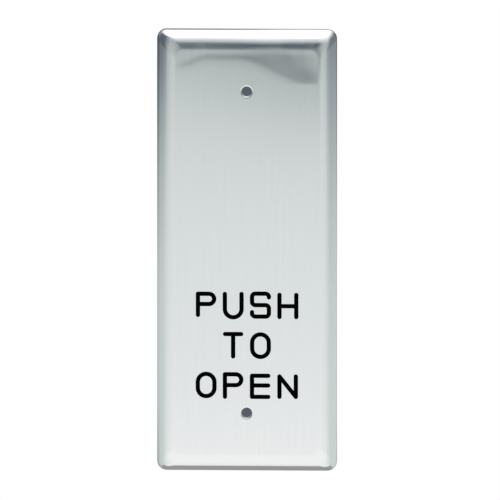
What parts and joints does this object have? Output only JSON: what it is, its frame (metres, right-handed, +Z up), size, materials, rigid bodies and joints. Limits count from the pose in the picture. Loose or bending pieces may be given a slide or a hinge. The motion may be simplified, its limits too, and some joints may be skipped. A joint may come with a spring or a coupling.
{
  "type": "door finger plate",
  "caption": "Narrow door finger plate pressed from one stainless sheet into a shallow pan, with rolled edges, rounded corners and a screw hole near each end.",
  "frame": {"origin": "centre of the plate's outline, in the plane of the rim that meets the door", "axes": "+Z up along the plate's height, +X along its width to the right as its face is looked at, and the face looks towards -Y"},
  "size_m": [0.0458, 0.0047, 0.1142],
  "materials": {
    "satin_stainless": "satin stainless steel, its grain along the plate's height",
    "black_enamel": "hard black enamel, wiped into engraved strokes"
  },
  "bodies": {
    "root": {"finger_plate": "satin_stainless"}
  },
  "joints": []
}
